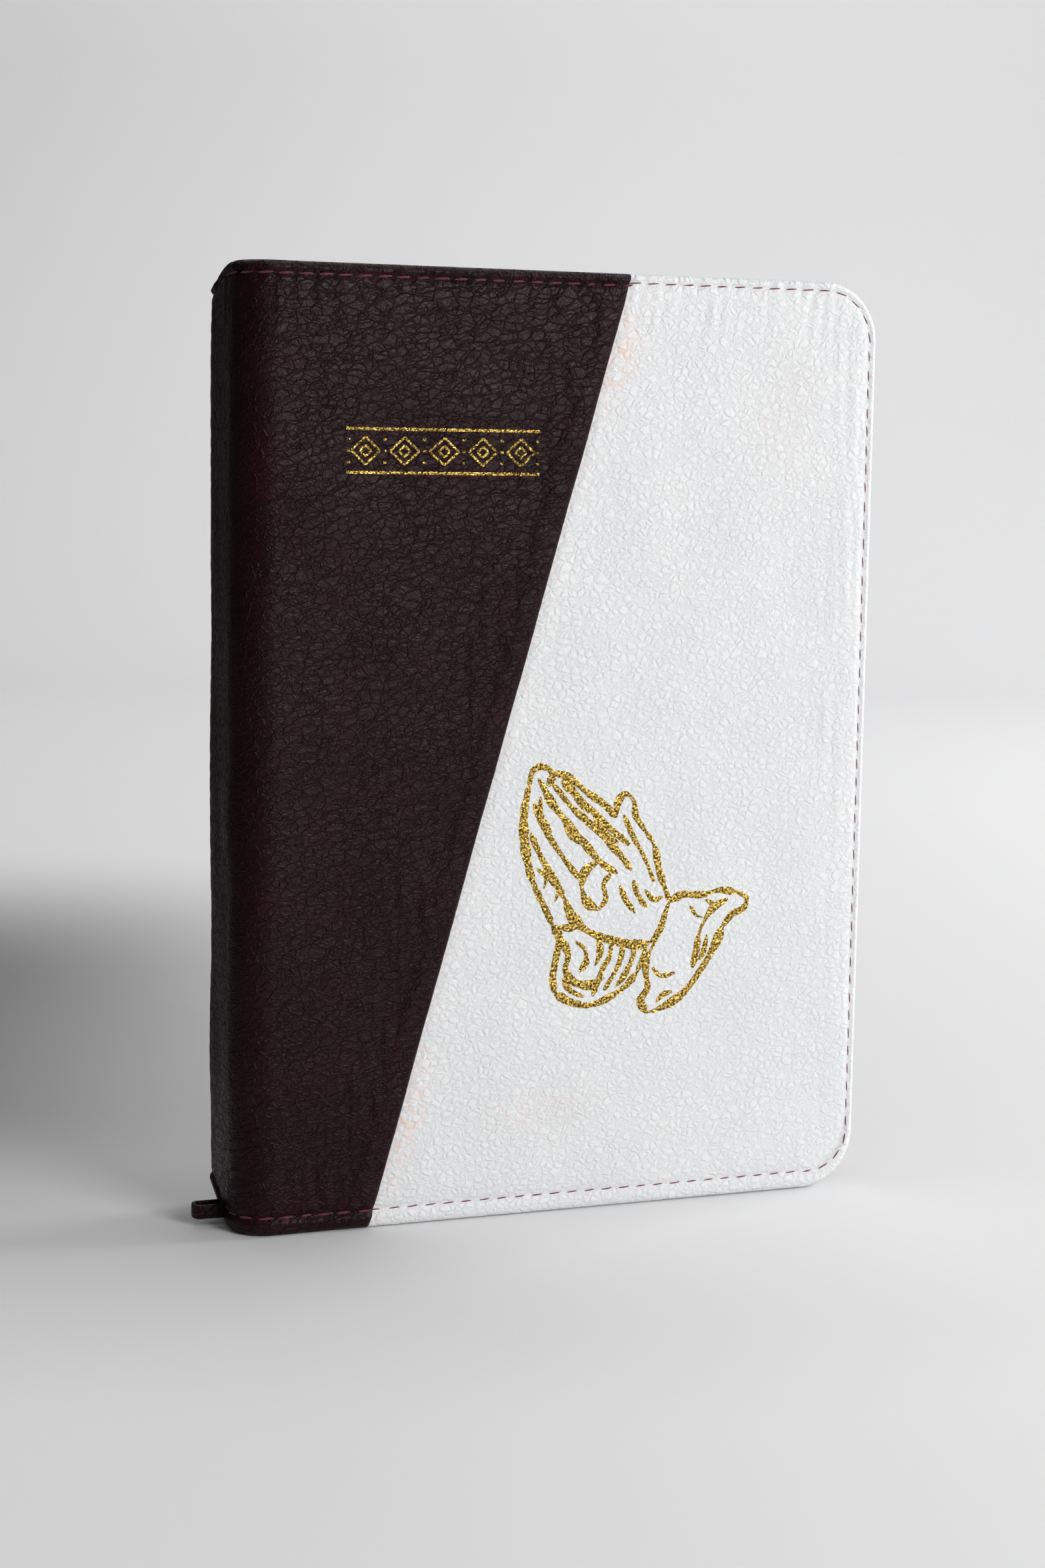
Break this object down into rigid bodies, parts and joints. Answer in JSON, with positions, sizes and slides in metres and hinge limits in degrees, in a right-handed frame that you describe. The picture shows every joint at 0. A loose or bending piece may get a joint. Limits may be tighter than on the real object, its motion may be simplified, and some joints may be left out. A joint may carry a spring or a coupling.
{
  "type": "zip-round prayer book",
  "caption": "Small two-tone leather prayer book with stitched rolled edges, gold foil motif and a zip round three sides; covers open and pages fan.",
  "frame": {"origin": "middle of the tail, on the surface that the book stands on", "axes": "+X from spine to fore-edge, +Y from front cover to back cover, +Z from tail to head"},
  "size_m": [0.13, 0.026, 0.175],
  "materials": {
    "wine_leather": "semi-gloss pebbled grain",
    "white_leather": "matt pebbled grain",
    "board": "plain grey board",
    "lining": "smooth woven lining",
    "mull": "open weave",
    "band_thread": "wound thread",
    "gold_foil": "stamped metallic foil",
    "zip_tape": "woven tape",
    "zip_coil": "moulded coil",
    "zip_metal": "polished plated metal",
    "paper": "thin cream paper"
  },
  "bodies": {
    "spine": {"spine_leather": "wine_leather", "spine_inlay": "board", "spine_mull": "mull", "bound_section_backs": "paper", "headband": "band_thread", "tailband": "band_thread", "zip_end_loop": "wine_leather", "zip_tape_end": "zip_tape"},
    "front_cover": {"front_leather_wine": "wine_leather", "front_leather_white": "white_leather", "front_board": "board", "front_lining": "lining", "foil_band": "gold_foil", "foil_emblem": "gold_foil", "zip_tape_front": "zip_tape", "zip_coil_front": "zip_coil", "zip_stops_front": "zip_metal"},
    "back_cover": {"back_leather": "wine_leather", "back_board": "board", "back_lining": "lining", "zip_tape_back": "zip_tape", "zip_coil_back": "zip_coil", "zip_stops_back": "zip_metal"},
    "zip_slider": {"zip_slider": "zip_metal"},
    "zip_pull": {"zip_pull": "zip_metal"},
    "front_flyleaf": {"front_flyleaf": "paper"},
    "front_section_1": {"front_section_1": "paper"},
    "front_section_2": {"front_section_2": "paper"},
    "front_section_3": {"front_section_3": "paper"},
    "front_section_4": {"front_section_4": "paper"},
    "front_section_5": {"front_section_5": "paper"},
    "back_flyleaf": {"back_flyleaf": "paper"},
    "back_section_1": {"back_section_1": "paper"},
    "back_section_2": {"back_section_2": "paper"},
    "back_section_3": {"back_section_3": "paper"},
    "back_section_4": {"back_section_4": "paper"},
    "back_section_5": {"back_section_5": "paper"}
  },
  "joints": [
    {"name": "front_cover_hinge", "type": "hinge", "parent": "spine", "child": "front_cover", "pos_m": [-0.0535, -0.013, 0.0875], "axis": [0, 0, -1], "range_deg": [0, 95]},
    {"name": "back_cover_hinge", "type": "hinge", "parent": "spine", "child": "back_cover", "pos_m": [-0.0535, 0.013, 0.0875], "axis": [0, 0, 1], "range_deg": [0, 95]},
    {"name": "front_flyleaf_turn", "type": "hinge", "parent": "spine", "child": "front_flyleaf", "pos_m": [-0.0499, -0.01005, 0.0875], "axis": [0, 0, -1], "range_deg": [0, 88.85]},
    {"name": "front_section_1_turn", "type": "hinge", "parent": "spine", "child": "front_section_1", "pos_m": [-0.0499, -0.00943, 0.0875], "axis": [0, 0, -1], "range_deg": [0, 76.5]},
    {"name": "front_section_2_turn", "type": "hinge", "parent": "spine", "child": "front_section_2", "pos_m": [-0.0499, -0.00753, 0.0875], "axis": [0, 0, -1], "range_deg": [0, 63.2]},
    {"name": "front_section_3_turn", "type": "hinge", "parent": "spine", "child": "front_section_3", "pos_m": [-0.0499, -0.00563, 0.0875], "axis": [0, 0, -1], "range_deg": [0, 49.9]},
    {"name": "front_section_4_turn", "type": "hinge", "parent": "spine", "child": "front_section_4", "pos_m": [-0.0499, -0.00374, 0.0875], "axis": [0, 0, -1], "range_deg": [0, 35.65]},
    {"name": "front_section_5_turn", "type": "hinge", "parent": "spine", "child": "front_section_5", "pos_m": [-0.0499, -0.00184, 0.0875], "axis": [0, 0, -1], "range_deg": [0, 19.5]},
    {"name": "back_flyleaf_turn", "type": "hinge", "parent": "spine", "child": "back_flyleaf", "pos_m": [-0.0499, 0.01005, 0.0875], "axis": [0, 0, 1], "range_deg": [0, 88.85]},
    {"name": "back_section_1_turn", "type": "hinge", "parent": "spine", "child": "back_section_1", "pos_m": [-0.0499, 0.00943, 0.0875], "axis": [0, 0, 1], "range_deg": [0, 76.5]},
    {"name": "back_section_2_turn", "type": "hinge", "parent": "spine", "child": "back_section_2", "pos_m": [-0.0499, 0.00753, 0.0875], "axis": [0, 0, 1], "range_deg": [0, 63.2]},
    {"name": "back_section_3_turn", "type": "hinge", "parent": "spine", "child": "back_section_3", "pos_m": [-0.0499, 0.00563, 0.0875], "axis": [0, 0, 1], "range_deg": [0, 49.9]},
    {"name": "back_section_4_turn", "type": "hinge", "parent": "spine", "child": "back_section_4", "pos_m": [-0.0499, 0.00374, 0.0875], "axis": [0, 0, 1], "range_deg": [0, 35.65]},
    {"name": "back_section_5_turn", "type": "hinge", "parent": "spine", "child": "back_section_5", "pos_m": [-0.0499, 0.00184, 0.0875], "axis": [0, 0, 1], "range_deg": [0, 19.5]},
    {"name": "zip_slide", "type": "slide", "parent": "back_cover", "child": "zip_slider", "axis": [1, 0, 0], "range_m": [0, 0.0895]},
    {"name": "pull_swing", "type": "hinge", "parent": "zip_slider", "child": "zip_pull", "pos_m": [-0.041, 0, 0.17405], "axis": [0, -1, 0], "range_deg": [0, 150]}
  ],
  "couplings": [
    {"joint": "front_flyleaf_turn", "follows": "front_cover_hinge", "ratio": 0.93},
    {"joint": "front_section_1_turn", "follows": "front_cover_hinge", "ratio": 0.8},
    {"joint": "front_section_2_turn", "follows": "front_cover_hinge", "ratio": 0.66},
    {"joint": "front_section_3_turn", "follows": "front_cover_hinge", "ratio": 0.52},
    {"joint": "front_section_4_turn", "follows": "front_cover_hinge", "ratio": 0.37},
    {"joint": "front_section_5_turn", "follows": "front_cover_hinge", "ratio": 0.2},
    {"joint": "back_flyleaf_turn", "follows": "back_cover_hinge", "ratio": 0.93},
    {"joint": "back_section_1_turn", "follows": "back_cover_hinge", "ratio": 0.8},
    {"joint": "back_section_2_turn", "follows": "back_cover_hinge", "ratio": 0.66},
    {"joint": "back_section_3_turn", "follows": "back_cover_hinge", "ratio": 0.52},
    {"joint": "back_section_4_turn", "follows": "back_cover_hinge", "ratio": 0.37},
    {"joint": "back_section_5_turn", "follows": "back_cover_hinge", "ratio": 0.2}
  ]
}
